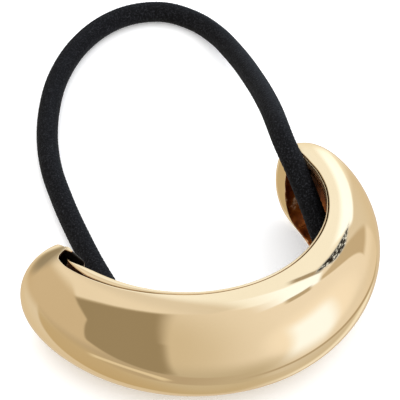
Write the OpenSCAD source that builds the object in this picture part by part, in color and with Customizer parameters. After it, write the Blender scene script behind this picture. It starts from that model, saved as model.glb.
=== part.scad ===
// Hair tie: a hollow C-shaped metal cuff with a round elastic loop running through it.
// Millimetres, +Z up. The cuff lies on its lower edge, mirror-symmetric about the YZ plane,
// with its dome towards -Y and the gap between its arms towards +Y.

/* [Cuff] */
// Radius from the arc's axis to the rim at the middle of the cuff
rim_r_mid = 18; // [17.6:0.1:18.1]
// Radius from the arc's axis to the rim at the tips of the arms
rim_r_end = 15.9; // [15.8:0.1:16.2]
// Angle of the arc from the middle to a tip
half_arc = 97.5; // [96:0.5:98]
// How far the dome stands out from the rim at the middle
dome_mid = 7; // [6.8:0.1:7.4]
// How far the dome stands out from the rim near the tips
dome_end = 5.7; // [5.6:0.1:6]
// Half of the cuff's height at the middle
half_h_mid = 7; // [6.8:0.1:7.2]
// Half of the cuff's height near the tips
half_h_end = 6.3; // [6.1:0.1:6.5]
// How far the rounded end of an arm curls in past the rim
curl = 1; // [0.8:0.1:1.4]
// Thickness of the metal
wall = 0.9; // [0.7:0.05:0.9]

/* [Slot] */
// Share of the half arc at which the slot ends
slot_share = 0.94; // [0.93:0.002:0.946]

/* [Keeper bar] */
// Diameter of the post across the hollow
bar_d = 1.6; // [1.2:0.1:1.6]
// How far the post's axis stands out from the rim
bar_out = 0.9; // [0.7:0.1:0.9]
// Gap between the post's ends and the walls
bar_gap = 0.1; // [0.05:0.05:0.2]

/* [Elastic] */
// Diameter of the elastic
elastic_d = 2.7; // [2.3:0.1:2.7]

/* [Hidden] */

// Angle by which the arms sink when the cuff rests on its lower edge
rest_tilt = 2;

// Exponents of the tapers: how late along an arm each change comes
rim_taper = 1.8;
size_taper = 1.5;
curl_taper = 16;
slot_taper = 40;
end_round = 20;
wall_taper = 12;
// Share of the half arc past which the end curls in behind the rim
curl_start = 0.85;

// Rings from the middle to the slot's end, and from there to the tip
slot_rings = 20;
tip_rings = 7;
// Segments of a ring: dome, curled part of the outside, hollow, curled part of the hollow
dome_segs = 20;
curl_segs = 4;
hollow_segs = 14;
inner_segs = 3;

// Angle that the wall takes up at the tip, seen from the arc's axis
wall_angle = wall / rim_r_end * 180 / PI;

function blend(a, mid, end, taper) = mid + (end - mid) * pow(a, taper);
function rounded(a, power) = sqrt(max(0, 1 - pow(a, power)));

// Sizes of the section at share a of the half arc, for a skin that lies t inside the outside
function rim_r(a) = blend(a, rim_r_mid, rim_r_end, rim_taper);
function dome_w(a, t) = (blend(a, dome_mid, dome_end, size_taper) - t) * rounded(a, end_round);
function curl_w(a, t) = (curl - t) * pow(a, curl_taper) * rounded(a, end_round);
function half_h(a, t) = (blend(a, half_h_mid, half_h_end, size_taper) - t) * rounded(a, end_round);
function edge_angle(a) =
    a < curl_start ? 90
    : a < slot_share ? 180 - asin(rounded(a / slot_share, slot_taper))
    : 180;

// Point of a skin at share a and angle g round the section, on the arm that side picks
function arc_point(angle, r, z, side) = [side * r * sin(angle), -r * cos(angle), z];
function skin_point(a, g, t, side) =
    let (
        width = cos(g) >= 0 ? dome_w(a, t) : curl_w(a, t),
        angle = half_arc * a - (t > 0 ? wall_angle * pow(a, wall_taper) : 0)
    )
    arc_point(angle, rim_r(a) + width * cos(g), half_h(a, t) * sin(g), side);

// Angles round one skin's section, from the upper edge of the slot to the lower one
function section_angles(edge, curl_n, dome_n) = [
    for (k = [0:curl_n - 1]) edge + (90 - edge) * k / curl_n,
    for (k = [0:dome_n]) 90 - 180 * k / dome_n,
    for (k = [1:curl_n]) -90 + (90 - edge) * k / curl_n
];

// One closed ring: the outside from the slot's upper edge down, then the hollow back up
outer_n = dome_segs + 2 * curl_segs + 1;
inner_n = hollow_segs + 2 * inner_segs + 1;
ring_n = outer_n + inner_n;
function ring(a, side) = [
    for (g = section_angles(edge_angle(a), curl_segs, dome_segs)) skin_point(a, g, 0, side),
    for (g = section_angles(edge_angle(a), inner_segs, hollow_segs))
        skin_point(a, -g, wall, side)
];

shares = [
    for (k = [0:slot_rings]) slot_share * sin(90 * k / slot_rings),
    for (k = [1:tip_rings]) slot_share + (1 - slot_share) * sin(90 * k / tip_rings)
];
arm_n = len(shares) - 1;
ring_count = 2 * arm_n + 1;
cuff_points = [
    for (i = [-arm_n:arm_n])
        for (p = ring(shares[abs(i)], i < 0 ? -1 : 1)) p
];

// Number of the point at ring i, place j, where points that coincide share one number
function share_at(i) = shares[abs(i - arm_n)];
function merged(a, k, curl_n, dome_n) =
    a == 1 ? 0
    : a < curl_start ? min(max(k, curl_n), curl_n + dome_n)
    : a >= slot_share ? k % (2 * curl_n + dome_n)
    : k;
function place(a, j) =
    j < outer_n
    ? merged(a, j, curl_segs, dome_segs)
    : outer_n + merged(a, j - outer_n, inner_segs, hollow_segs);
function number(i, j) = i * ring_n + place(share_at(i), j % ring_n);
// The slot's edge joins the two skins only as far as the slot reaches
function is_edge(j) = j == outer_n - 1 || j == ring_n - 1;
function is_closed(i) = share_at(i) >= slot_share && share_at(i + 1) >= slot_share;
function is_real(f) = f[0] != f[1] && f[1] != f[2] && f[2] != f[0];
cuff_faces = [
    for (i = [0:ring_count - 2])
        for (j = [0:ring_n - 1])
            let (
                p = number(i, j),
                q = number(i, j + 1),
                r = number(i + 1, j + 1),
                s = number(i + 1, j)
            )
            for (f = [[p, r, q], [p, s, r]])
                if (is_real(f) && !(is_edge(j) && is_closed(i))) f
];

// Heights and depths of the cuff's points once it lies on its lower edge
posed_z = [for (p = cuff_points) p.z * cos(rest_tilt) - p.y * sin(rest_tilt)];
posed_y = [for (p = cuff_points) p.y * cos(rest_tilt) + p.z * sin(rest_tilt)];

// The post reaches as far as the hollow lets its outermost line go
bar_half_l =
    (half_h_mid - wall) * sqrt(1 - pow((bar_out + bar_d / 2) / (dome_mid - wall), 2)) - bar_gap;

// Route of the elastic's middle line, from the middle of the cuff round to the middle again:
// along the left arm, out of the slot, round the loose loop on the surface, up over the right
// tip and back in through the slot
route = [
    [0, -9.8, 3.9],
    [-3.7, -9.4, 3.9],
    [-7.1, -7.9, 3.8],
    [-9.9, -5.5, 3.6],
    [-11.7, -2.3, 3.3],
    [-12.2, 1.3, 2.9],
    [-11.5, 4.6, 2.5],
    [-10.5, 7.9, 2],
    [-9.6, 11.1, 1.6],
    [-9, 14.4, 1.35],
    [-8.3, 18.1, 1.35],
    [-7.1, 23.4, 1.35],
    [-6.1, 27.1, 1.35],
    [-4.5, 32.1, 1.35],
    [-2.1, 37.1, 1.35],
    [1.1, 41.9, 1.35],
    [5.1, 46.4, 1.35],
    [10, 50.1, 1.35],
    [15.2, 52.3, 1.35],
    [20.1, 52.6, 1.35],
    [24.3, 50.8, 1.35],
    [26.7, 47.1, 1.4],
    [27.1, 42.7, 2],
    [26.3, 38.4, 3.1],
    [24.9, 33.9, 4.7],
    [23.3, 29.9, 6.4],
    [21.5, 25.8, 8.3],
    [19.6, 21.8, 10.2],
    [17.7, 17.9, 11.9],
    [15.9, 14.2, 13.1],
    [14.9, 11.6, 13.2],
    [14.4, 9.1, 12.5],
    [14.2, 6.9, 11.2],
    [13.9, 3.5, 8.7],
    [13.2, -0.8, 5.9],
    [12.2, -3.2, 4.9],
    [10.1, -6.1, 4.4],
    [7.1, -8.2, 4.2],
    [3.7, -9.4, 4],
    [0.2, -9.8, 3.9]
];

// Sides of the elastic's section, and steps between two route points
elastic_sides = 8;
elastic_steps = 2;

// Smooth curve through the route
function at_route(i) = route[min(max(i, 0), len(route) - 1)];
function smooth(i, t) =
    let (a = at_route(i - 1), b = at_route(i), c = at_route(i + 1), d = at_route(i + 2))
    b + (c - a) * t / 2
    + (2 * a - 5 * b + 4 * c - d) * t * t / 2
    + (3 * b - a - 3 * c + d) * t * t * t / 2;
elastic_path = [
    for (i = [0:len(route) - 2])
        for (k = [0:elastic_steps - 1]) smooth(i, k / elastic_steps),
    route[len(route) - 1]
];

// Rings square to the curve, their first point level with the curve on its left-hand side
path_n = len(elastic_path);
function unit(v) = v / norm(v);
function heading(i) =
    unit(elastic_path[min(i + 1, path_n - 1)] - elastic_path[max(i - 1, 0)]);
function elastic_ring(i) =
    let (
        ahead = heading(i),
        across = unit(cross([0, 0, 1], ahead)),
        over = cross(ahead, across)
    )
    [
        for (k = [0:elastic_sides - 1])
            let (g = 360 * (k + 0.5) / elastic_sides)
            elastic_path[i] + (across * cos(g) + over * sin(g)) * elastic_d / 2
    ];
elastic_points = [for (i = [0:path_n - 1]) for (p = elastic_ring(i)) p];
elastic_faces = [
    for (i = [0:path_n - 2])
        for (k = [0:elastic_sides - 1])
            let (
                p = i * elastic_sides + k,
                q = i * elastic_sides + (k + 1) % elastic_sides,
                r = q + elastic_sides,
                s = p + elastic_sides
            )
            for (f = [[p, r, q], [p, s, r]]) f,
    [for (k = [0:elastic_sides - 1]) k],
    [for (k = [elastic_sides - 1:-1:0]) (path_n - 1) * elastic_sides + k]
];

// The cuff lies on its lower edge, with its box's middle over the origin
module at_rest() {
    translate([0, -(min(posed_y) + max(posed_y)) / 2, -min(posed_z)])
        rotate([-rest_tilt, 0, 0])
            children();
}

// The metal shell
module cuff() {
    color("#e6cfa0")
        at_rest()
            polyhedron(points = cuff_points, faces = cuff_faces, convexity = 6);
}

// The post across the hollow that keeps the elastic in
module keeper_bar() {
    color("#d9bf8c")
        at_rest()
            translate([0, -(rim_r_mid + bar_out), -bar_half_l])
                cylinder(d = bar_d, h = 2 * bar_half_l, $fn = 32);
}

// The elastic, whose ends meet behind the post
module elastic() {
    color("#1c1c1e")
        polyhedron(points = elastic_points, faces = elastic_faces, convexity = 6);
}

cuff();
keeper_bar();
elastic();
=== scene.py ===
"""The looks of the hair tie: a polished pale gold cuff on a loop of black knitted elastic."""

import math

import bmesh
import bpy
import numpy as np
from mathutils import Euler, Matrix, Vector


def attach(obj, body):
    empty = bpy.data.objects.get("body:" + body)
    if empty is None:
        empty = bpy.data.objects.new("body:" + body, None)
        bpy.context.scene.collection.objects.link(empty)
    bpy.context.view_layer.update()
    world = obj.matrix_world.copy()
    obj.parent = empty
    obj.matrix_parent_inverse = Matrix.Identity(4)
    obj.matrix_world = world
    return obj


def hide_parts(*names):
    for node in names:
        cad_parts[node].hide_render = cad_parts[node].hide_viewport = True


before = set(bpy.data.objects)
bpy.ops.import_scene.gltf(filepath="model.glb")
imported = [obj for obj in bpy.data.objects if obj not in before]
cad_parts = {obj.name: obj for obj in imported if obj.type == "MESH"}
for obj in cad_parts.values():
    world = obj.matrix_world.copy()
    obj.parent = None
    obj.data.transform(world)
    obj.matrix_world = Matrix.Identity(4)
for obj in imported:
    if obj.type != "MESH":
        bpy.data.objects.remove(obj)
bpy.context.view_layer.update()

MM = 0.001
# Points that lie closer than this, in metres, become one
MERGE_DISTANCE = 1e-6
TINY = 1e-9
QUARTER_TURN = math.pi / 2

# Camera, from the photograph: where it stands and the point at the middle of the picture, in mm,
# its roll in degrees, its lens and sensor in mm, and the depths that it sees, in metres
CAMERA_AT = (-129.67, -167.70, 219.43)
CAMERA_AIM = (3.46, 11.96, 8.98)
CAMERA_ROLL = 4.125
CAMERA_LENS, CAMERA_SENSOR = 235.3, 36
CAMERA_NEAR, CAMERA_FAR = 0.01, 20

# Cuff, the same sizes as the CAD part, in mm and degrees
RIM_R_MID, RIM_R_END = 18.0, 15.9
HALF_ARC = 97.5
DOME_MID, DOME_END = 7.0, 5.7
HALF_H_MID, HALF_H_END = 7.0, 6.3
CURL = 1.0
WALL = 0.9
SLOT_SHARE = 0.94
SLOT_END = HALF_ARC * SLOT_SHARE
REST_TILT = 2.0
RIM_TAPER, SIZE_TAPER, CURL_TAPER = 1.8, 1.5, 16
SLOT_TAPER, END_ROUND, WALL_TAPER = 40, 20, 12
CURL_START = 0.85
BAR_R, BAR_OUT, BAR_GAP = 0.8, 0.9, 0.1

# Elastic, the same route as the CAD part, in mm
ELASTIC_D = 2.7
ROUTE = [
    (0, -9.8, 3.9), (-3.7, -9.4, 3.9), (-7.1, -7.9, 3.8), (-9.9, -5.5, 3.6), (-11.7, -2.3, 3.3),
    (-12.2, 1.3, 2.9), (-11.5, 4.6, 2.5), (-10.5, 7.9, 2), (-9.6, 11.1, 1.6), (-9, 14.4, 1.35),
    (-8.3, 18.1, 1.35), (-7.1, 23.4, 1.35), (-6.1, 27.1, 1.35), (-4.5, 32.1, 1.35),
    (-2.1, 37.1, 1.35), (1.1, 41.9, 1.35), (5.1, 46.4, 1.35), (10, 50.1, 1.35),
    (15.2, 52.3, 1.35), (20.1, 52.6, 1.35), (24.3, 50.8, 1.35), (26.7, 47.1, 1.4),
    (27.1, 42.7, 2), (26.3, 38.4, 3.1), (24.9, 33.9, 4.7), (23.3, 29.9, 6.4), (21.5, 25.8, 8.3),
    (19.6, 21.8, 10.2), (17.7, 17.9, 11.9), (15.9, 14.2, 13.1), (14.9, 11.6, 13.2),
    (14.4, 9.1, 12.5), (14.2, 6.9, 11.2), (13.9, 3.5, 8.7), (13.2, -0.8, 5.9),
    (12.2, -3.2, 4.9), (10.1, -6.1, 4.4), (7.1, -8.2, 4.2), (3.7, -9.4, 4), (0.2, -9.8, 3.9),
]


# Small tools


def add_mesh(name, points, faces, recess=None):
    """A smooth mesh object from points in mm and faces, with coinciding points merged."""
    mesh = bpy.data.meshes.new(name)
    mesh.from_pydata((np.asarray(points, float) * MM).tolist(), [], [list(f) for f in faces])
    if recess is not None:
        mesh.attributes.new("recess", "FLOAT", "POINT").data.foreach_set("value", recess)
    shape = bmesh.new()
    shape.from_mesh(mesh)
    bmesh.ops.remove_doubles(shape, verts=shape.verts, dist=MERGE_DISTANCE)
    bmesh.ops.dissolve_degenerate(shape, edges=shape.edges, dist=MERGE_DISTANCE)
    shape.to_mesh(mesh)
    shape.free()
    mesh.polygons.foreach_set("use_smooth", [True] * len(mesh.polygons))
    obj = bpy.data.objects.new(name, mesh)
    bpy.context.scene.collection.objects.link(obj)
    return obj


def ring_faces(count, size, capped):
    """Faces between that many rings of size points each, and over both end rings if capped."""
    faces = []
    for i in range(count - 1):
        p, q = i * size, (i + 1) * size
        for j in range(size):
            k = (j + 1) % size
            faces.append((p + j, p + k, q + k, q + j))
    if capped:
        last = (count - 1) * size
        faces.append(tuple(range(size - 1, -1, -1)))
        faces.append(tuple(last + k for k in range(size)))
    return faces


def smoothstep(low, high, x):
    """0 up to low, 1 from high on, and a smooth rise between them."""
    t = np.clip((np.asarray(x, float) - low) / (high - low), 0, 1)
    return t * t * (3 - 2 * t)


def stepped(stretches):
    """Values along the stretches, each of which is (from, to, step)."""
    return [value for low, high, step in stretches for value in np.arange(low, high, step)]


# Camera

camera_data = bpy.data.cameras.new("camera")
camera_data.lens = CAMERA_LENS
camera_data.sensor_width = CAMERA_SENSOR
camera_data.clip_start = CAMERA_NEAR
camera_data.clip_end = CAMERA_FAR
camera = bpy.data.objects.new("camera", camera_data)
bpy.context.scene.collection.objects.link(camera)
camera.location = Vector(CAMERA_AT) * MM
view = (Vector(CAMERA_AIM) - Vector(CAMERA_AT)).normalized()
camera.rotation_euler = (
    view.to_track_quat("-Z", "Y") @ Euler((0, 0, math.radians(CAMERA_ROLL))).to_quaternion()
).to_euler()
bpy.context.scene.camera = camera


# Elastic

# Steps between two points of the route, and how often its line is eased
ROUTE_STEPS = 12
EASING_PASSES = 60
# The knit, in mm: gap between rings of points, length of a stitch, depth of the relief
RING_GAP = 0.11
STITCH = 0.62
KNIT_DEPTH = 0.045
SIDES = 36
STRANDS = 14


def route_curve(points, steps):
    """Smooth curve through the points, as the CAD part draws it."""
    p = np.asarray(points, float)
    q = np.vstack([p[:1], p, p[-1:]])
    out = []
    for i in range(len(p) - 1):
        a, b, c, d = q[i : i + 4]
        for k in range(steps):
            t = k / steps
            out.append(
                b + (c - a) * t / 2
                + (2 * a - 5 * b + 4 * c - d) * t**2 / 2
                + (3 * b - a - 3 * c + d) * t**3 / 2
            )
    out.append(p[-1])
    return np.array(out)


def even_path(points, spacing):
    """The same line with its points evenly spaced, and how far along it each lies."""
    steps = np.linalg.norm(np.diff(points, axis=0), axis=1)
    run = np.concatenate([[0], np.cumsum(steps)])
    at = np.linspace(0, run[-1], int(run[-1] / spacing) + 1)
    return np.stack([np.interp(at, run, points[:, i]) for i in range(3)], axis=1), at


def relaxed(points, passes):
    """Points eased towards their neighbours, the ends kept."""
    p = points.copy()
    for _ in range(passes):
        p[1:-1] = p[1:-1] * 0.5 + (p[:-2] + p[2:]) * 0.25
    return p


def knitted_tube():
    """Points and faces of the elastic with the relief of its knit, and its middle line."""
    centre, run = even_path(route_curve(ROUTE, ROUTE_STEPS), RING_GAP)
    centre = relaxed(centre, EASING_PASSES)
    ahead = np.gradient(centre, axis=0)
    ahead /= np.linalg.norm(ahead, axis=1)[:, None]
    across = np.cross([0.0, 0.0, 1.0], ahead)
    across /= np.linalg.norm(across, axis=1)[:, None]
    over = np.cross(ahead, across)
    angle = 2 * math.pi * np.arange(SIDES) / SIDES
    # Two sets of strands wind opposite ways and pass over and under each other
    turn = 2 * math.pi * run[:, None] / (STITCH * STRANDS / 2)
    left = np.cos(STRANDS / 2 * (angle[None, :] + turn))
    right = np.cos(STRANDS / 2 * (angle[None, :] - turn))
    relief = np.maximum(left, right) ** 2 * KNIT_DEPTH - KNIT_DEPTH
    radius = ELASTIC_D / 2 + relief
    points = (
        centre[:, None, :]
        + across[:, None, :] * (np.cos(angle)[None, :] * radius)[:, :, None]
        + over[:, None, :] * (np.sin(angle)[None, :] * radius)[:, :, None]
    )
    return points.reshape(-1, 3), ring_faces(len(centre), SIDES, capped=True), centre


elastic_points, elastic_faces, elastic_line = knitted_tube()
elastic = add_mesh("elastic_knit", elastic_points, elastic_faces)


# Cuff

# Rims of the slot's upper side, from the left tip to the right one, as the photograph shows them.
# Columns: angle in degrees, then mm outwards from the crest: the shell's edge, and the outer and
# inner edge of the thin lip beside it
RIM = (
    (-83.8, 0.00, 0.95, 0.95),
    (-83.4, 0.70, 0.95, 0.95),
    (-82.8, 1.25, 0.95, 0.95),
    (-81.6, 1.60, 0.95, 0.95),
    (-79.0, 1.70, 0.95, 0.94),
    (-77.0, 1.73, 1.06, 0.86),
    (-73.5, 1.65, 1.17, 0.58),
    (-71.0, 1.57, 1.20, 0.42),
    (-67.0, 1.43, 1.20, 0.25),
    (-62.0, 1.25, 1.09, 0.16),
    (-56.0, 1.08, 0.96, 0.10),
    (-47.0, 0.80, 0.68, 0.04),
    (-36.0, 0.54, 0.43, 0.00),
    (-15.0, 0.45, 0.34, -0.02),
    (5.0, 0.40, 0.29, -0.03),
    (25.0, 0.25, 0.14, -0.08),
    (40.0, 0.22, 0.10, -0.06),
    (58.0, 0.04, -0.08, -0.20),
    (69.0, -0.19, -0.31, -0.44),
    (75.0, -0.40, -0.53, -0.66),
    (82.0, -0.44, -0.58, -0.70),
    (85.5, -0.20, -0.60, -0.72),
    (87.5, 0.00, -0.62, -0.64),
)
# Where the slot's upper edge reaches the crest at each end, in degrees, and how it goes on from
# there over the crest: the smaller the power, the sooner it has turned in
LEFT_HOLE_END, RIGHT_SLOT_END = 83.8, 87.5
LEFT_CLOSING, RIGHT_CLOSING = 0.12, 1.0
# How fast the skin falls inwards of the crest, in mm for each square mm
CREST_FALL = 0.12
# The left tip's upper side slopes down by this share of its height, between these angles
LEFT_TIP_DROP = 0.06
LEFT_TIP_SLOPE = (84, 92)
# The metal at the slot's edge, in mm, and where it has its full thickness: radians round the
# section from the edge, and degrees past the slot's end
THIN_WALL = 0.18
FULL_WALL_FROM_EDGE, FULL_WALL_PAST_SLOT = 0.8, 2
# The rounding of the shell's upper edge. Columns: mm outwards from the edge, mm below the skin
EDGE_ROUNDING = ((0.0, 0.16), (0.0, 0.07), (0.03, 0.02), (0.08, 0.0), (0.2, 0.0), (0.45, 0.0))
# Where the dome stands out less than this, in mm, the rounding is squeezed
ROUNDING_ROOM = 1.5
DOME_STEPS = 44
CURL_STEPS = 8
# Angles of the rings on an arm, as (from, to, step) in degrees, and the rings past the slot's end
ARM_STRETCHES = ((0, 60, 1.5), (60, 82, 0.75), (82, 91.5, 0.25))
TIP_RINGS = 16

# Values of the attribute "recess": 0 outside, 1 in the hollow, 2 where near black is painted as
# shade. Between 1 and 2 the hollow's colour is painted darker as shade
HOLLOW, BLACK_SHADE = 1.0, 2.0
# Recess of the groove between the lip and the shell, painted nearly black as shade
GROOVE_SHADE = 1.85
DARKEST_HOLLOW = 0.97 * BLACK_SHADE
# Painted shade: what the hollow's recess gains on the left, which fades between these angles
LEFT_PAINTED_SHADE, LEFT_PAINTED_SHADE_FADES = 0.93, (20, 60)
# Painted shade: what it gains under the rim: up to the right cap, which starts between these
# angles, and behind the cap's dome, from these mm outwards of the rim on. It sets in between these
# heights, in mm
RIM_PAINTED_SHADE = 0.85
RIGHT_CAP_STARTS = (84, 90)
BEHIND_DOME = (2.0, 4.2)
RIM_PAINTED_SHADE_RISES = (-4.5, -1.0)

# The lip, in mm: depth of its lower end, width of the foot that reaches in under the shell, depth
# of that foot's upper side, rounding of its edges. Then its rings, as (from, to, step) in degrees
LIP_DEPTH, LIP_FOOT, LIP_FOOT_DEPTH, LIP_ROUNDING = 1.3, 0.35, 0.75, 0.05
LIP_END = 86.0
LIP_STRETCHES = ((-78.8, -60, 0.4), (-60, LIP_END, 1.0))

# The wall behind the left hole, from beside the cap on. Columns: angle in degrees, then mm outwards
# from the crest: the side towards the axis and the side towards the hole, then the depth in mm of
# its top and of its foot
INNER_WALL = (
    (-88.5, 0.05, 0.25, 0.50, 12.2),
    (-86.5, 0.00, 0.25, 0.25, 12.2),
    (-85.2, -0.16, 0.25, 0.00, 12.2),
    (-83.8, -0.34, 0.22, 0.00, 12.2),
    (-82.4, -0.36, 0.08, 0.00, 12.0),
    (-81.6, -0.34, 0.00, 0.00, 11.3),
    (-81.0, -0.32, -0.06, 0.00, 10.4),
    (-80.2, -0.31, -0.07, 0.00, 9.0),
    (-79.2, -0.30, -0.07, 0.00, 7.4),
    (-78.2, -0.29, -0.08, 0.00, 6.0),
    (-77.2, -0.28, -0.08, 0.00, 4.8),
    (-76.2, -0.27, -0.08, 0.00, 3.7),
    (-75.2, -0.26, -0.09, 0.01, 2.7),
    (-74.2, -0.24, -0.10, 0.03, 1.8),
    (-73.4, -0.23, -0.10, 0.08, 1.2),
    (-72.8, -0.20, -0.14, 0.30, 0.7),
)
# Its rings in degrees, and the steps up and down its sides
INNER_WALL_STEP = 0.25
INNER_WALL_STEPS = 8
# In mm: its edges' bevel, how far its foot stays above the underside, its least thickness, and
# where its side towards the axis stands at the lower rim, to which it leans between these depths
INNER_WALL_BEVEL, INNER_WALL_CLEAR, INNER_WALL_LEAST = 0.05, 0.4, 0.14
LOWER_RIM_AT = 0.05
LEAN_DEPTHS = (6.0, 12.3)
# Its top is gold up to the first of these angles and painted near black as shade from the second on
TOP_PAINTED_DARK = (-80.9, -80.4)


def blend(a, mid, end, taper):
    """Value at share a of the half arc, from mid at the middle to end at the tip."""
    return mid + (end - mid) * np.power(a, taper)


def rounded(a, power):
    """Factor that closes an arm's end roundly."""
    return np.sqrt(np.maximum(0, 1 - np.power(a, power)))


def share(angle_deg):
    """Share of the half arc that the angle reaches."""
    return min(abs(angle_deg) / HALF_ARC, 1.0)


def rim_r(a):
    """Radius from the arc's axis to the crest."""
    return blend(a, RIM_R_MID, RIM_R_END, RIM_TAPER)


def dome_w(a, t=0.0):
    """How far the dome stands out from the crest, on a skin that lies t inside the outside."""
    return (blend(a, DOME_MID, DOME_END, SIZE_TAPER) - t) * rounded(a, END_ROUND)


def curl_w(a, t=0.0):
    """How far the arm's end curls in past the crest, on that skin."""
    return (CURL - t) * np.power(a, CURL_TAPER) * rounded(a, END_ROUND)


def half_h(a, t=0.0):
    """Half of the height of that skin."""
    return (blend(a, HALF_H_MID, HALF_H_END, SIZE_TAPER) - t) * rounded(a, END_ROUND)


def edge_angle(a):
    """Angle round the section, in radians, at which the slot's lower edge cuts the skin."""
    if a >= SLOT_SHARE:
        return math.pi
    if a < CURL_START:
        return QUARTER_TURN
    return math.pi - math.asin(float(rounded(a / SLOT_SHARE, SLOT_TAPER)))


def sunk_tip(angle_deg):
    """Factor on the height of the upper side: the left tip slopes down a little to its end."""
    return 1 - LEFT_TIP_DROP * float(smoothstep(*LEFT_TIP_SLOPE, -angle_deg))


def skin_point(angle_deg, g, t=0.0):
    """Point at angle g round the section, on a skin that lies t inside the outside."""
    a = share(angle_deg)
    w = dome_w(a, t) if math.cos(g) >= 0 else curl_w(a, t)
    pull = math.degrees(t / RIM_R_END) * a**WALL_TAPER
    r = rim_r(a) + w * math.cos(g)
    phi = math.radians(math.copysign(max(abs(angle_deg) - pull, 0), angle_deg))
    z = half_h(a, t) * math.sin(g)
    if z > 0:
        z *= sunk_tip(angle_deg)
    return (r * math.sin(phi), -r * math.cos(phi), z)


def rim_at(angle_deg):
    """(shell's edge, lip's outer edge, lip's inner edge), in mm outwards from the crest."""
    columns = np.array(RIM).T
    return [float(np.interp(angle_deg, columns[0], column)) for column in columns[1:]]


def top_point(angle_deg, s, depth):
    """Point s mm outwards from the upper crest and that deep below the skin."""
    a = share(angle_deg)
    w, h = max(float(dome_w(a)), TINY), float(half_h(a))
    z = h * math.sqrt(max(0.0, 1 - (s / w) ** 2)) if s > 0 else h - CREST_FALL * s * s
    r = float(rim_r(a)) + s
    phi = math.radians(angle_deg)
    return (r * math.sin(phi), -r * math.cos(phi), z * sunk_tip(angle_deg) - depth)


def upper_edge(angle_deg):
    """Angle round the section, in radians, of the slot's upper edge: a quarter turn on the crest,
    where the table of rims takes over, and more past it."""
    left = angle_deg < 0
    start = LEFT_HOLE_END if left else RIGHT_SLOT_END
    q = min(max((abs(angle_deg) - start) / (SLOT_END - start), 0.0), 1.0)
    q **= LEFT_CLOSING if left else RIGHT_CLOSING
    return math.pi - math.asin(math.sqrt(1 - q * q))


def wall_at(angle_deg, from_edge):
    """Thickness of the metal, thin at the slot's edge and full further in."""
    from_edge_share = float(smoothstep(0, FULL_WALL_FROM_EDGE, from_edge))
    past_slot_share = float(smoothstep(0, FULL_WALL_PAST_SLOT, abs(angle_deg) - SLOT_END))
    return THIN_WALL + (WALL - THIN_WALL) * max(from_edge_share, past_slot_share)


def ring_points(angle_deg):
    """One closed ring in two lists: the outside from the slot's upper edge down to its lower one,
    and the hollow back up."""
    a = share(angle_deg)
    up, low = upper_edge(angle_deg), edge_angle(a)
    curled = up > QUARTER_TURN + TINY
    edge = 0.0 if curled else rim_at(angle_deg)[0]
    w = max(float(dome_w(a)), TINY)
    squeeze = min(1.0, w / ROUNDING_ROOM)

    outside = []
    for k in range(CURL_STEPS):
        g = up + (QUARTER_TURN - up) * k / CURL_STEPS
        outside.append(
            skin_point(angle_deg, g) if curled else top_point(angle_deg, edge, EDGE_ROUNDING[0][1])
        )
    for step, depth in EDGE_ROUNDING:
        outside.append(top_point(angle_deg, edge + step * squeeze, 0.0 if curled else depth))
    start = math.acos(min((edge + EDGE_ROUNDING[-1][0] * squeeze) / w, 1.0))
    for k in range(1, DOME_STEPS + 1):
        outside.append(skin_point(angle_deg, start * (1 - k / DOME_STEPS)))
    for k in range(1, DOME_STEPS + 1):
        outside.append(skin_point(angle_deg, -QUARTER_TURN * k / DOME_STEPS))
    for k in range(1, CURL_STEPS + 1):
        outside.append(
            skin_point(angle_deg, -QUARTER_TURN - (low - QUARTER_TURN) * k / CURL_STEPS)
        )

    hollow = []
    for k in range(CURL_STEPS):
        g = low + (QUARTER_TURN - low) * k / CURL_STEPS
        hollow.append(skin_point(angle_deg, -g, wall_at(angle_deg, low - g)))
    for k in range(DOME_STEPS):
        g = QUARTER_TURN * (1 - k / DOME_STEPS)
        hollow.append(skin_point(angle_deg, -g, wall_at(angle_deg, low - g)))
    top = math.acos(min(max(edge / w, 0.0), 1.0))
    for k in range(DOME_STEPS + 1):
        g = top * k / DOME_STEPS
        hollow.append(skin_point(angle_deg, g, wall_at(angle_deg, max(up, top) - g)))
    if edge < 0:
        hollow[-1] = top_point(angle_deg, edge, THIN_WALL)
    for k in range(1, CURL_STEPS + 1):
        g = QUARTER_TURN + (up - QUARTER_TURN) * k / CURL_STEPS
        hollow.append(
            skin_point(angle_deg, g, wall_at(angle_deg, up - g)) if curled else hollow[-1]
        )
    return outside, hollow


def cuff_angles():
    """Angles of the cuff's rings in degrees, from the left tip to the right one."""
    arm = stepped(ARM_STRETCHES)
    for k in range(TIP_RINGS + 1):
        arm.append(SLOT_END + (HALF_ARC - SLOT_END) * math.sin(QUARTER_TURN * k / TIP_RINGS))
    return [-angle for angle in reversed(arm) if angle > 0] + arm


def painted_hollow_shade(angle_deg, point):
    """How dark the painted shade is at a point of the hollow, as a value of the attribute "recess".
    """
    x, y, z = point
    on_left = 1 - float(smoothstep(*LEFT_PAINTED_SHADE_FADES, angle_deg))
    before_cap = 1 - float(smoothstep(*RIGHT_CAP_STARTS, angle_deg))
    behind_dome = float(smoothstep(*BEHIND_DOME, math.hypot(x, y) - RIM_R_END))
    high_up = float(smoothstep(*RIM_PAINTED_SHADE_RISES, z))
    under_rim = RIM_PAINTED_SHADE * max(before_cap, behind_dome) * high_up
    return min(HOLLOW + LEFT_PAINTED_SHADE * on_left + under_rim, DARKEST_HOLLOW)


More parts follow.
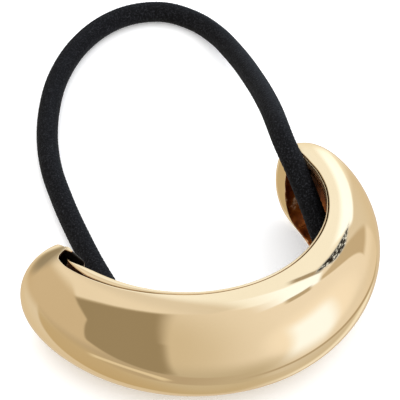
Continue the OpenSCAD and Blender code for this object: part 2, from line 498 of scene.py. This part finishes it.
def build_shell():
    """The shell, whose outside and hollow meet along the slot's two edges as far as it reaches."""
    points, recess, faces = [], [], []
    starts, past_slot = [], []
    for angle in cuff_angles():
        outside, hollow = ring_points(angle)
        starts.append(len(points))
        past_slot.append(abs(angle) >= SLOT_END)
        points += outside + hollow
        recess += [0.0] * len(outside) + [painted_hollow_shade(angle, point) for point in hollow]
    outside_size, size = len(outside), len(outside) + len(hollow)
    for i in range(len(starts) - 1):
        p, q = starts[i], starts[i + 1]
        for j in range(size):
            is_edge = j in (outside_size - 1, size - 1)
            if is_edge and past_slot[i] and past_slot[i + 1]:
                continue
            k = (j + 1) % size
            faces.append((p + j, p + k, q + k, q + j))
    return points, recess, faces


def build_lip():
    """The thin lip along the slot's upper side, with a foot just clear of the shell above it."""
    points, recess = [], []
    angles = stepped(LIP_STRETCHES) + [LIP_END]
    for angle in angles:
        edge, outer, inner = rim_at(angle)
        rounding = min(LIP_ROUNDING, (outer - inner) / 3)
        foot = edge + LIP_FOOT
        # Columns: mm outwards from the crest, depth in mm, recess; the recess paints shade on the
        # lip's sides, near black in the groove beside the shell
        section = (
            (foot, LIP_DEPTH, HOLLOW), (inner, LIP_DEPTH, HOLLOW),
            (inner, 0.25, 0.6), (inner, 0.12, 0.0), (inner + rounding, 0.06, 0.0),
            ((inner + outer) / 2, 0.04, 0.0),
            (outer - rounding, 0.06, 0.0), (outer, 0.12, 0.2), (outer, 0.25, GROOVE_SHADE),
            (outer, LIP_FOOT_DEPTH, GROOVE_SHADE), (foot, LIP_FOOT_DEPTH, GROOVE_SHADE),
        )
        points += [top_point(angle, s, depth) for s, depth, _ in section]
        recess += [value for _, _, value in section]
    return points, recess, ring_faces(len(angles), len(section), capped=True)


def leaning(face, depth):
    """Place of the inner wall's side towards the axis, which leans to meet the lower rim."""
    return face + (LOWER_RIM_AT - face) * float(smoothstep(*LEAN_DEPTHS, depth))


def build_inner_wall():
    """The wall behind the left hole, from beside the cap to where the elastic passes."""
    points, recess = [], []
    columns = np.array(INNER_WALL).T
    angles = np.arange(columns[0][0], columns[0][-1], INNER_WALL_STEP)
    for angle in angles:
        face, back, top, foot = (float(np.interp(angle, columns[0], c)) for c in columns[1:])
        underside = float(half_h(share(angle))) * (1 + sunk_tip(angle))
        foot = min(foot, underside - INNER_WALL_CLEAR)
        bevel = min(INNER_WALL_BEVEL, (back - face) / 3, (foot - top) / 6)
        # Painted shade: the top turns near black over the hole
        over = BLACK_SHADE * float(smoothstep(*TOP_PAINTED_DARK, angle))
        # Up the side towards the axis, over the top and down the side towards the hole, which is
        # painted near black as shade.
        # Columns: mm outwards from the crest, depth in mm, recess
        section = [
            (leaning(face, depth), depth, 0.0)
            for depth in np.linspace(foot - bevel, top + 2 * bevel, INNER_WALL_STEPS + 1)
        ]
        section += [
            (face, top + bevel, over), (face + 0.3 * bevel, top + 0.3 * bevel, over),
            (face + bevel, top, over), (back - bevel, top, over),
            (back - 0.3 * bevel, top + 0.3 * bevel, over), (back, top + bevel, over),
        ]
        section += [
            (max(back, leaning(face, depth) + INNER_WALL_LEAST), depth, BLACK_SHADE)
            for depth in np.linspace(top + 3 * bevel, foot - bevel, INNER_WALL_STEPS + 1)
        ]
        section += [
            (section[-1][0] - bevel, foot, BLACK_SHADE), (section[0][0] + bevel, foot, 0.0),
        ]
        points += [top_point(angle, s, depth) for s, depth, _ in section]
        recess += [value for _, _, value in section]
    return points, recess, ring_faces(len(angles), len(section), capped=True)


def merged_parts(*parts):
    """Points, recess and faces of all the parts in one."""
    points, recess, faces = [], [], []
    for more_points, more_recess, more_faces in parts:
        start = len(points)
        points += more_points
        recess += more_recess
        faces += [tuple(start + i for i in face) for face in more_faces]
    return points, recess, faces


def tilted(points):
    """Cuff points turned as the cuff leans when it rests on its lower edge."""
    turn = math.radians(REST_TILT)
    p = np.asarray(points, float)
    y = p[:, 1] * math.cos(turn) + p[:, 2] * math.sin(turn)
    z = p[:, 2] * math.cos(turn) - p[:, 1] * math.sin(turn)
    return np.stack([p[:, 0], y, z], axis=1)


shell = build_shell()
_, shell_y, shell_z = tilted(shell[0]).T
# The cuff's middle lies over the origin, and its lowest point on the floor
REST_SHIFT = np.array([0.0, -(shell_y.min() + shell_y.max()) / 2, -shell_z.min()])


def at_rest(points):
    """Cuff points as they lie when the cuff rests on its lower edge."""
    return tilted(points) + REST_SHIFT


cuff_points, cuff_recess, cuff_faces = merged_parts(shell, build_lip(), build_inner_wall())
cuff = add_mesh("cuff_shell", at_rest(cuff_points), cuff_faces, recess=cuff_recess)


# Post in the hollow

POST_SIDES = 40
# Fillet of solder at the post's ends: width and height in mm, and its steps
SOLDER_W, SOLDER_H, SOLDER_STEPS = 0.35, 1.4, 8


def build_post():
    """A round post with a small fillet of solder at each end."""
    outermost = (BAR_OUT + BAR_R) / (DOME_MID - WALL)
    reach = (HALF_H_MID - WALL) * math.sqrt(1 - outermost**2) - BAR_GAP
    profile = [(0.0, -reach)]
    for t in np.linspace(0, 1, SOLDER_STEPS + 1):
        profile.append((BAR_R + SOLDER_W * (1 - t) ** 3, -reach + SOLDER_H * t))
    profile += [(r, -z) for r, z in reversed(profile)]
    points = []
    for r, z in profile:
        for k in range(POST_SIDES):
            g = 2 * math.pi * k / POST_SIDES
            points.append((r * math.cos(g), r * math.sin(g) - RIM_R_MID - BAR_OUT, z))
    return points, ring_faces(len(profile), POST_SIDES, capped=False)


post_points, post_faces = build_post()
post = add_mesh("keeper_post", at_rest(post_points), post_faces)


# Materials


def new_material(name):
    """A material with a principled shader, its nodes, and a node for texture coordinates."""
    material = bpy.data.materials.new(name)
    material.use_nodes = True
    tree = material.node_tree
    tree.nodes.clear()
    out = tree.nodes.new("ShaderNodeOutputMaterial")
    shader = tree.nodes.new("ShaderNodeBsdfPrincipled")
    tree.links.new(shader.outputs["BSDF"], out.inputs["Surface"])
    coords = tree.nodes.new("ShaderNodeTexCoord")
    return material, tree, shader, coords


def noise(tree, coords, scale, detail=3.0, rough=0.5):
    """Grain fixed to the object."""
    node = tree.nodes.new("ShaderNodeTexNoise")
    node.inputs["Scale"].default_value = scale
    node.inputs["Detail"].default_value = detail
    node.inputs["Roughness"].default_value = rough
    tree.links.new(coords.outputs["Object"], node.inputs["Vector"])
    return node.outputs["Fac"]


def ramp(tree, source, stops):
    """Colours by the source's value, from stops of (value, red, green, blue)."""
    node = tree.nodes.new("ShaderNodeValToRGB")
    elements = node.color_ramp.elements
    while len(elements) < len(stops):
        elements.new(1.0)
    for element, (position, *color) in zip(elements, stops):
        element.position = position
        element.color = (*color, 1)
    tree.links.new(source, node.inputs["Fac"])
    return node.outputs["Color"]


def mapped(tree, source, low, high, to_low=0.0, to_high=1.0, kind="LINEAR"):
    """The source's value from low to high, turned into one from to_low to to_high."""
    node = tree.nodes.new("ShaderNodeMapRange")
    node.interpolation_type = kind
    node.inputs["From Min"].default_value = low
    node.inputs["From Max"].default_value = high
    node.inputs["To Min"].default_value = to_low
    node.inputs["To Max"].default_value = to_high
    tree.links.new(source, node.inputs["Value"])
    return node.outputs["Result"]


def mixed(tree, factor, first, second):
    """The first colour turning into the second; each is a socket or (red, green, blue)."""
    node = tree.nodes.new("ShaderNodeMix")
    node.data_type = "RGBA"
    tree.links.new(factor, node.inputs["Factor"])
    for color, name in ((first, "A"), (second, "B")):
        if isinstance(color, tuple):
            node.inputs[name].default_value = (*color, 1)
        else:
            tree.links.new(color, node.inputs[name])
    return node.outputs["Result"]


def multiplied(tree, first, second):
    """The product of two values."""
    node = tree.nodes.new("ShaderNodeMath")
    node.operation = "MULTIPLY"
    tree.links.new(first, node.inputs[0])
    tree.links.new(second, node.inputs[1])
    return node.outputs[0]


def bump(tree, shader, height, strength, distance):
    """Relief too fine for the mesh."""
    node = tree.nodes.new("ShaderNodeBump")
    node.inputs["Strength"].default_value = strength
    node.inputs["Distance"].default_value = distance
    tree.links.new(height, node.inputs["Height"])
    tree.links.new(node.outputs["Normal"], shader.inputs["Normal"])


def gold_material():
    """Polished gold outside; in the hollow a duller skin painted dark brown as shade, with painted
    glints, and painted near black as shade in places.
    """
    material, tree, shader, coords = new_material("polished_gold")
    shader.inputs["Specular Tint"].default_value = (0.85, 0.74, 0.58, 1)
    outside = ramp(
        tree,
        noise(tree, coords, scale=90.0, detail=4.0),
        [(0.3, 0.73, 0.565, 0.345), (0.7, 0.75, 0.585, 0.365)],
    )
    # The hollow's colours: dark browns are painted shade, the rare light stop painted glints
    hollow = ramp(
        tree,
        noise(tree, coords, scale=420.0, detail=5.0, rough=0.62),
        [
            (0.36, 0.09, 0.017, 0.002),
            (0.48, 0.23, 0.05, 0.005),
            (0.56, 0.38, 0.11, 0.018),
            (0.62, 0.95, 0.62, 0.38),
        ],
    )
    attribute = tree.nodes.new("ShaderNodeAttribute")
    attribute.attribute_name = "recess"
    recess = attribute.outputs["Fac"]
    gold = mixed(tree, recess, outside, hollow)
    # Painted shade: from a recess of 1 to 2 the colour turns near black
    painted_black_shade = mapped(tree, recess, HOLLOW, BLACK_SHADE)
    color = mixed(tree, painted_black_shade, gold, (0.013, 0.011, 0.01))
    tree.links.new(color, shader.inputs["Base Color"])
    for socket, outside_value, hollow_value in (("Roughness", 0.045, 0.3), ("Metallic", 1.0, 0.45)):
        value = mapped(tree, recess, 0.0, HOLLOW, outside_value, hollow_value)
        tree.links.new(value, shader.inputs[socket])
    wave = noise(tree, coords, scale=140.0, detail=2.0)
    bump(tree, shader, wave, strength=0.12, distance=0.0002)
    return material


def post_material():
    """Plain gold, dull and grainy."""
    material, tree, shader, coords = new_material("plain_gold")
    shader.inputs["Metallic"].default_value = 1.0
    shader.inputs["Roughness"].default_value = 0.35
    grain = noise(tree, coords, scale=900.0, detail=4.0)
    color = ramp(tree, grain, [(0.3, 0.5, 0.36, 0.2), (0.7, 0.62, 0.46, 0.27)])
    tree.links.new(color, shader.inputs["Base Color"])
    bump(tree, shader, grain, strength=0.3, distance=0.0001)
    return material


def elastic_material():
    """Black yarn with light specks, painted glints of its fibres."""
    material, tree, shader, coords = new_material("black_elastic")
    shader.inputs["Roughness"].default_value = 0.7
    shader.inputs["Specular IOR Level"].default_value = 0.1
    # Light specks in the colour stand in for glints on the yarn
    color = ramp(
        tree,
        noise(tree, coords, scale=5200.0, rough=0.7),
        [(0.35, 0.0015, 0.0015, 0.002), (0.52, 0.0035, 0.0035, 0.0045), (0.7, 0.03, 0.031, 0.036)],
    )
    tree.links.new(color, shader.inputs["Base Color"])
    fuzz = noise(tree, coords, scale=4200.0, rough=0.7)
    bump(tree, shader, fuzz, strength=0.6, distance=0.00012)
    return material


cuff.data.materials.append(gold_material())
post.data.materials.append(post_material())
elastic.data.materials.append(elastic_material())


# Floor

# Strength of the floor's own white glow
FLOOR_GLOW = 0.2
# Half of the floor's side, in mm
FLOOR_HALF = 3000


def floor_material():
    """White paper that glows a little, so that only the shadows close under the piece show."""
    material, tree, shader, coords = new_material("paper_floor")
    shader.inputs["Roughness"].default_value = 0.9
    shader.inputs["Specular IOR Level"].default_value = 0.1
    shader.inputs["Emission Color"].default_value = (1, 1, 1, 1)
    shader.inputs["Emission Strength"].default_value = FLOOR_GLOW
    grain = noise(tree, coords, scale=800.0)
    color = ramp(tree, grain, [(0.0, 0.93, 0.93, 0.93), (1.0, 0.95, 0.95, 0.95)])
    tree.links.new(color, shader.inputs["Base Color"])
    return material


floor = add_mesh(
    "floor",
    [(x * FLOOR_HALF, y * FLOOR_HALF, 0) for x, y in ((-1, -1), (1, -1), (1, 1), (-1, 1))],
    [(0, 1, 2, 3)],
)
floor.data.materials.append(floor_material())
# The metal reflects the studio in its place
floor.visible_glossy = False


# Light

# What matt surfaces get from all round, and what the camera sees behind the floor
SOFT_LIGHT = 1.6
BACKDROP = 1.0
# Tints of the light, each by its red, green and blue
NEUTRAL, CLEAR, COOL = (1, 1, 1), (1, 1.01, 1.05), (0.98, 1.03, 1.10)
BRIGHT, HOT = (0.96, 1.06, 1.2), (0.86, 1.03, 1.34)
CREAM, WARM, AMBER = (1.0, 0.96, 0.84), (1.04, 0.95, 0.80), (1.08, 0.96, 0.72)
# Brightness and tint of the studio where no card stands
ROOM = (0.84, (1.02, 0.97, 0.86))

# Planes that several cards share
BACK_PLANES = (((0.551, 0.829, 0.09), 0, 0.035), ((-0.155, 0.979, 0.129), 0, 0.03))
FLOOR_RIGHT_NORMAL = (0.23, 0.041, -0.972)
FLOOR_RIGHT_PLANE = (FLOOR_RIGHT_NORMAL, 0.8, 0.015)
DARK_LEFT_PLANE = ((-0.707, 0.7, -0.1), 0.014, 0.075)
DARK_FLOOR_PLANE = ((-0.137, -0.661, 0.738), 0, 0.035)
SPECKLE_PLANES = (
    ((1.05, -1, 0), 0.45, 0.02), ((-1.45, 1, 0), -0.669, 0.02),
    ((1, 0, 0), 0.66, 0.02), ((-1, 0, 0), -0.856, 0.015), ((0, 1, 0), -0.02, 0.03),
    ((0, 0, 1), 0.2, 0.1),
)
# The card with this name is broken up by fine gaps, where the noise lies below these values
SPECKLES = "speckles"
SPECKLE_SCALE, SPECKLE_DETAIL = 38.0, 2.0
SPECKLE_GAPS = (0.4, 0.46)

# The studio round the object: soft cards, each a patch of directions between a few planes. A card
# covers those before it. Columns: name, brightness, tint, and (normal, offset, softness) of the
# planes that bound the card
CARDS = (
    (
        "right side", 1.15, CLEAR,
        (((1, -0.1, 0), -0.02, 0.52),),
    ),
    (
        "low front", 0.73, CREAM,
        (((0, 0, -1), 0.4, 0.28),),
    ),
    (
        "low right", 1.09, CLEAR,
        (((0, 0, -1), 0.3, 0.25), ((1, 0, 0), 0.3, 0.22)),
    ),
    (
        "glow", 1.26, CLEAR,
        (((0.64, -0.765, 0.05), 0.86, 0.09), ((0, 0, -1), -0.6, 0.22), ((0, 0, 1), -0.5, 0.22)),
    ),
    (
        "hot card", 1.6, HOT,
        (
            ((-0.616, -0.788, 0), -0.02, 0.1), ((0.914, 0.407, 0), -0.02, 0.1),
            ((0, 0, -1), -0.33, 0.15), ((0, 0, 1), -0.5, 0.22),
        ),
    ),
    (
        "floor left", 0.62, WARM,
        (((0.137, 0.661, -0.738), 0, 0.03), ((-1, 0, 0), 0.1, 0.3)),
    ),
    (
        "floor", 0.78, CREAM,
        (((0, 0.52, -0.855), 0.54, 0.02), ((0, 0, -1), 0.3, 0.1)),
    ),
    (
        "floor right", 0.88, NEUTRAL,
        (FLOOR_RIGHT_PLANE, ((1, 0, 0), 0.3, 0.15)),
    ),
    (
        "floor far right", 1.35, BRIGHT,
        (FLOOR_RIGHT_PLANE, ((1, 0, 0), 0.36, 0.12), ((0, 1, 0), -0.02, 0.1)),
    ),
    (
        "horizon", 0.6, WARM,
        (
            (FLOOR_RIGHT_NORMAL, 0.748, 0.012), ((-0.23, -0.041, 0.972), -0.8, 0.01),
            ((1, 0, 0), 0.12, 0.18), ((0, -1, 0), -0.1, 0.1),
        ),
    ),
    (
        "left low", 0.68, AMBER,
        (((-0.5, 0.3, -0.85), 0.84, 0.1),),
    ),
    (
        "table edge", 1.0, CREAM,
        (
            ((-0.541, -0.102, -0.835), 0.922, 0.008), ((0.541, 0.102, 0.835), -0.953, 0.008),
            ((0, -1, 0), 0.02, 0.06), ((-1, 0, 0), 0.42, 0.06),
        ),
    ),
    (
        "right bridge", 0.72, WARM,
        (
            ((-0.46, 1, 0), -0.492, 0.012), ((1.45, -1, 0), 0.669, 0.02),
            ((0, -1, 0), -0.24, 0.05), ((0, 0, 1), 0.0, 0.08),
        ),
    ),
    (
        "back", 0.98, NEUTRAL,
        BACK_PLANES,
    ),
    (
        "back left", 1.1, NEUTRAL,
        (*BACK_PLANES, ((-1, 0, 0), 0.08, 0.15), ((0, 0, 1), 0.55, 0.2)),
    ),
    (
        "back right", 1.33, BRIGHT,
        (((0.2, 0.9, 0.12), 0, 0.03), ((1, 0, 0), 0.2, 0.08), ((-0.526, 1, 0.398), 0, 0.06)),
    ),
    (
        "back hot", 1.85, HOT,
        (((1, 0, 0), 0.73, 0.06), ((0, 1, 0), 0.22, 0.03), ((-0.745, 0.49, 0.453), -0.39, 0.03)),
    ),
    (
        "top streak", 1.7, HOT,
        (
            ((-0.43, -1, 0), -0.233, 0.02), ((-0.375, 1, 0), -0.459, 0.02),
            ((1, 0, 0), 0.34, 0.16), ((-1, 0, 0), -0.7, 0.02), ((0, 0, 1), 0.3, 0.1),
        ),
    ),
    (
        "upper dark streak", 0.5, WARM,
        (
            ((-0.8, -1, 0), -0.444, 0.012), ((0.7, 1, 0), 0.3475, 0.012),
            ((1, 0, 0), 0.51, 0.03), ((-1, 0, 0), -0.69, 0.02), ((0, 0, 1), 0.5, 0.1),
        ),
    ),
    (
        "lower dark streak", 0.62, WARM,
        (
            ((0.47, -1, 0), 0.467, 0.012), ((-0.53, 1, 0), -0.565, 0.012),
            ((1, 0, 0), 0.45, 0.04), ((-1, 0, 0), -0.64, 0.02), ((0, 0, 1), 0.5, 0.1),
        ),
    ),
    (
        "speckles' ground", 1.4, HOT,
        SPECKLE_PLANES,
    ),
    (
        SPECKLES, 0.03, NEUTRAL,
        SPECKLE_PLANES,
    ),
    (
        "left arm", 0.78, WARM,
        (
            ((-0.9, 0.6, -0.1), 0.6, 0.14), ((-0.2, 0.76, -0.62), -0.02, 0.03),
            ((0, 0, 1), -0.35, 0.15),
        ),
    ),
    (
        "left top", 0.43, CREAM,
        (((0, 0.98, 0.2), 0.9, 0.08),),
    ),
    (
        "dark upper", 0.4, AMBER,
        (
            DARK_LEFT_PLANE, DARK_FLOOR_PLANE,
            ((0.207, -0.758, 0.619), 0, 0.025), ((-0.551, -0.829, -0.09), 0.03, 0.05),
        ),
    ),
    (
        "dark lower", 0.4, AMBER,
        (DARK_LEFT_PLANE, DARK_FLOOR_PLANE, ((0, -0.99, 0.14), 0, 0.02), ((0, 0, -1), -0.4, 0.05)),
    ),
    (
        "grazing", 0.8, WARM,
        (((0.433, 0.585, -0.686), 0.94, 0.04),),
    ),
)


def soft_side(tree, direction, normal, offset, softness):
    """1 where the direction lies past the plane, 0 before it, with a soft edge."""
    dot = tree.nodes.new("ShaderNodeVectorMath")
    dot.operation = "DOT_PRODUCT"
    tree.links.new(direction, dot.inputs[0])
    dot.inputs[1].default_value = Vector(normal).normalized()
    return mapped(
        tree, dot.outputs["Value"], offset - softness, offset + softness, kind="SMOOTHSTEP"
    )


def fine_gaps(tree, direction):
    """1 on the specks and 0 in the fine gaps between them."""
    specks = tree.nodes.new("ShaderNodeTexNoise")
    specks.inputs["Scale"].default_value = SPECKLE_SCALE
    specks.inputs["Detail"].default_value = SPECKLE_DETAIL
    tree.links.new(direction, specks.inputs["Vector"])
    return mapped(tree, specks.outputs["Fac"], *SPECKLE_GAPS)


def card_mask(tree, direction, name, planes):
    """1 on the card and 0 beside it."""
    sides = [soft_side(tree, direction, *plane) for plane in planes]
    if name == SPECKLES:
        sides.append(fine_gaps(tree, direction))
    mask = sides[0]
    for side in sides[1:]:
        mask = multiplied(tree, mask, side)
    return mask


def tinted(level, tint):
    """The tint at that brightness."""
    return tuple(level * c for c in tint)


def studio_world():
    """The studio as the metal reflects it, plain white behind, and even light on matt surfaces."""
    world = bpy.data.worlds.new("studio")
    bpy.context.scene.world = world
    world.use_nodes = True
    tree = world.node_tree
    direction = tree.nodes.new("ShaderNodeTexCoord").outputs["Generated"]
    light = tinted(*ROOM)
    for name, level, tint, planes in CARDS:
        mask = card_mask(tree, direction, name, planes)
        light = mixed(tree, mask, light, tinted(level, tint))
    ray = tree.nodes.new("ShaderNodeLightPath")
    light = mixed(tree, ray.outputs["Is Diffuse Ray"], light, tinted(SOFT_LIGHT, NEUTRAL))
    light = mixed(tree, ray.outputs["Is Camera Ray"], light, tinted(BACKDROP, NEUTRAL))
    tree.links.new(light, tree.nodes["Background"].inputs["Color"])


studio_world()
bpy.context.scene.view_settings.view_transform = "Standard"


# Each piece hangs from the root's empty, and the CAD part it stands for is hidden

for piece, node, slot in (
    (cuff, "cuff", "polished_gold"),
    (post, "keeper_bar", "plain_gold"),
    (elastic, "elastic", "black_elastic"),
):
    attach(piece, "root")
    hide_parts(node)
